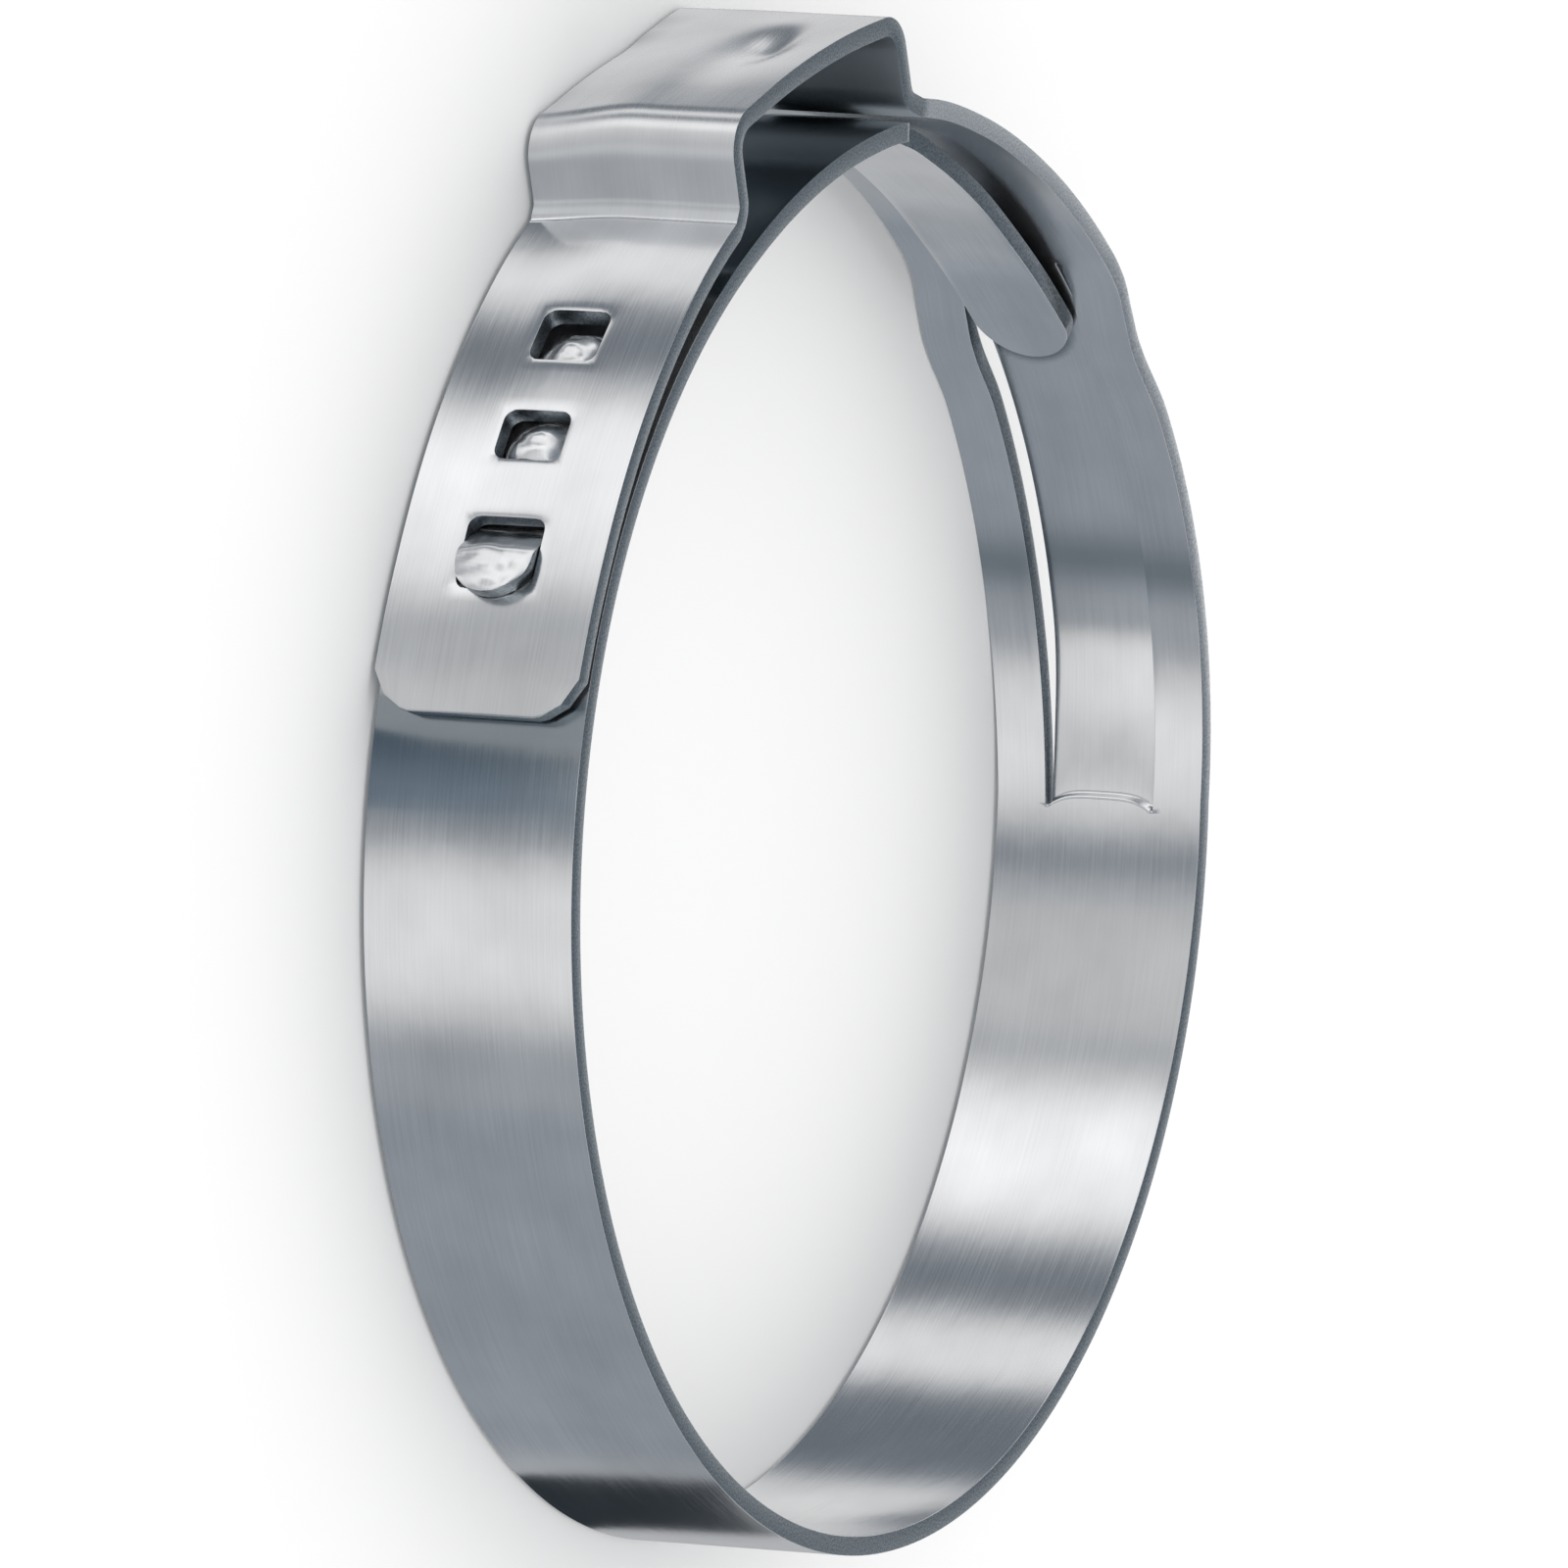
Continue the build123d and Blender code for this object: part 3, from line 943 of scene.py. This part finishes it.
# %% Sheared edges
DARK_EDGE = [(0.2, 0.24, 0.27, 1.0), (0.42, 0.46, 0.49, 1.0)]
HIGHLIGHT_EDGE = [(0.55, 0.58, 0.6, 1.0), (0.85, 0.87, 0.89, 1.0)]
GRAIN_SCALE = 14000.0
GRAIN_RANGE = (0.3, 0.7)
TORN_ROUGHNESS = 0.33
edge_steel, shader, start = new_finish("sheared_edge")
grain = start.node("ShaderNodeTexCoord", output="Object").noise(GRAIN_SCALE, 3.0)
# The rim from the channel to the ear gets a painted highlight: a lighter edge colour.
rim_highlight = start.mask("painted_rim_highlight")
low, high = [rim_highlight.blend(dark, light) for dark, light in zip(DARK_EDGE, HIGHLIGHT_EDGE)]
feed(shader, Metallic=1.0, Base_Color=grain.ramp(*GRAIN_RANGE).blend(low, high))
feed(shader, Roughness=TORN_ROUGHNESS, Normal=grain.bump(8 * MICROMETRE))

mesh.materials.append(steel)
mesh.materials.append(edge_steel)
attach(band, "root")
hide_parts("clamp_band")
print("finishes:", [material.name for material in mesh.materials])

# %% [markdown]
# ## Studio
# The clamp lies on its rim on pale paper. What makes rolled steel read as steel is what it mirrors,
# so soft boxes stand all round and below the edge of the paper, with dark gaps between them. The
# paper itself is left out of the mirror, and it catches the clamp's soft shadow.

# %% Paper
PAPER_SIZE = 3.0
PAPER_COLOUR = (0.93, 0.93, 0.93, 1.0)
paper_mesh = bpy.data.meshes.new("paper")
bm = bmesh.new()
bmesh.ops.create_grid(bm, x_segments=1, y_segments=1, size=PAPER_SIZE)
bm.to_mesh(paper_mesh)
bm.free()
paper = bpy.data.objects.new("paper", paper_mesh)
paper.location.z = band_box[0][2]
bpy.context.scene.collection.objects.link(paper)
paper_white, shader, start = new_finish("paper_white")
feed(shader, Base_Color=PAPER_COLOUR, Roughness=0.9, Specular_IOR_Level=0.0)
paper_mesh.materials.append(paper_white)
paper.visible_glossy = False
print("paper at, mm:", round(paper.location.z / MM, 2))

# %% [markdown]
# Two dark cards lie just under the paper, beside the ring. Only mirror rays pass through the paper, so
# only the steel sees them, and they darken parts of what it mirrors. Darker soft boxes would do it for
# the whole ring at once, while a card that lies near acts on one part of it.

# %% Cards under the paper
CARD_GLOW = (0.75, 1.0, 1.25, 1.0)
BLACK_CARD = [(-9.5, -31.5), (0.5, -30.0), (-14.5, -16.5), (-10.5, -18.5)]
GREY_CARD = [(-37.5, 14.3), (-20.0, 7.4), (-34.0, 18.0), (-18.0, 9.2)]


def card_under_paper(name, corners, glow):
    """Dark card whose corners are given in millimetres, in rows from low y to high y."""
    card_mesh = bpy.data.meshes.new(name)
    bm = bmesh.new()
    bmesh.ops.create_grid(bm, x_segments=1, y_segments=1, size=1.0)
    for vert in bm.verts:
        x, y = corners[(vert.co.x > 0) + 2 * (vert.co.y > 0)]
        vert.co = (x * MM, y * MM, paper.location.z - MM)
    bm.to_mesh(card_mesh)
    bm.free()
    card = bpy.data.objects.new(name, card_mesh)
    bpy.context.scene.collection.objects.link(card)
    finish, shader, _ = new_finish(name)
    feed(shader, Base_Color=BLACK, Roughness=1.0, Specular_IOR_Level=0.0)
    feed(shader, Emission_Color=CARD_GLOW, Emission_Strength=glow)
    card_mesh.materials.append(finish)


card_under_paper("black_card", BLACK_CARD, 0.025)
card_under_paper("grey_card", GREY_CARD, 0.17)
print("cards: black_card, grey_card")

# %% [markdown]
# The soft boxes are drawn on the world. Lamps would light the paper as well, while a world that asks
# Light Path which ray sees it can show the steel its bands and still give the paper an even light.
# The steel sees the bands below the horizon, a bright horizon and a dim ceiling. Dark parts of the
# mirror are a little cooler than bright ones.

# %% Soft boxes
EVEN_LIGHT = 1.12
CEILING = 0.22
GAP_LIGHT = 0.17
COOL = (0.83, 0.97, 1.13, 1.0)
SOFT_BOXES = [  # direction, half width and softness in degrees, and how much light each adds
    (12, 11, 9, 0.54),
    (67, 4, 8, 0.7),
    (108, 12, 9, 0.82),
    (142, 12, 8, 0.38),
    (179, 12, 7, 0.6),
    (200, 6, 5, 0.12),
    (245, 40, 14, 0.13),
    (317, 27, 12, 0.3),
]
world = bpy.data.worlds.new("studio")
world.use_nodes = True
bpy.context.scene.world = world
tree = world.node_tree
look = Value(tree, None).node("ShaderNodeTexCoord", output="Generated")
flat = look.node("ShaderNodeVectorMath", {0: look, 1: (1.0, 1.0, 0.0)}, operation="MULTIPLY")
level = flat.node("ShaderNodeVectorMath", {0: flat}, operation="NORMALIZE")
bands = look.node("ShaderNodeValue")
bands.socket.default_value = GAP_LIGHT
for direction, half, soft, strength in SOFT_BOXES:
    towards = (cos(radians(direction)), sin(radians(direction)), 0.0)
    inputs = {0: level, 1: towards}
    facing = level.node("ShaderNodeVectorMath", inputs, output="Value", operation="DOT_PRODUCT")
    dark_from = cos(radians(half + soft))
    full_from = cos(radians(max(half - soft, 0)))
    bands += strength * facing.ramp(dark_from, full_from)
print("soft boxes:", len(SOFT_BOXES))

# %% [markdown]
# Mirror rays see the bands, the bright horizon and the dim ceiling, and every other ray sees one even
# light from all sides. Light Path tells them apart, so the paper is as pale however dark the bands are.

# %% What each kind of ray sees
HORIZON = (-0.12, 0.02)
CEILING_EDGE = (0.2, 0.38)
COOL_TO_WHITE = (0.1, 0.6)
height = look.node("ShaderNodeSeparateXYZ", {0: look}, output="Z")
mirrored = look.node("ShaderNodeLightPath", output="Is Glossy Ray")
above = height.ramp(*HORIZON)
ceiling = height.ramp(*CEILING_EDGE, EVEN_LIGHT, CEILING)
seen = above * ceiling + (1 - above) * bands
glow = mirrored * seen + (1 - mirrored) * EVEN_LIGHT
tint = mirrored.blend(WHITE, seen.ramp(*COOL_TO_WHITE).blend(COOL, WHITE))
background = tree.nodes["Background"]
tree.links.new(tint.socket, background.inputs["Color"])
tree.links.new(glow.socket, background.inputs["Strength"])
print("world:", len(tree.nodes), "nodes")

# %% [markdown]
# ## Camera
# A long lens from about a metre away looks down across the ring, so that the windows and the inside
# of the channel both show. Its three axes are given as vectors, since the clamp is seen tipped over.

# %% Camera
FOCAL_LENGTH = 775.55
SENSOR = 36.0
CAMERA_PLACE = Vector((-0.86466, 0.31319, 0.46076))
CAMERA_RIGHT = Vector((0.44260, -0.09137, 0.89205))
CAMERA_DOWN = Vector((-0.31113, -0.94865, 0.05721))
CAMERA_AHEAD = Vector((0.84102, -0.30287, -0.44830))
camera_data = bpy.data.cameras.new("camera")
camera_data.lens = FOCAL_LENGTH
camera_data.sensor_width = SENSOR
camera_data.clip_start = 0.1
camera = bpy.data.objects.new("camera", camera_data)
turn = Matrix((CAMERA_RIGHT, -CAMERA_DOWN, -CAMERA_AHEAD)).transposed().to_4x4()
camera.matrix_world = Matrix.Translation(CAMERA_PLACE) @ turn
bpy.context.scene.collection.objects.link(camera)
bpy.context.scene.camera = camera
bpy.context.scene.view_settings.view_transform = "Standard"
print("camera stands off, m:", round(CAMERA_PLACE.length, 2))
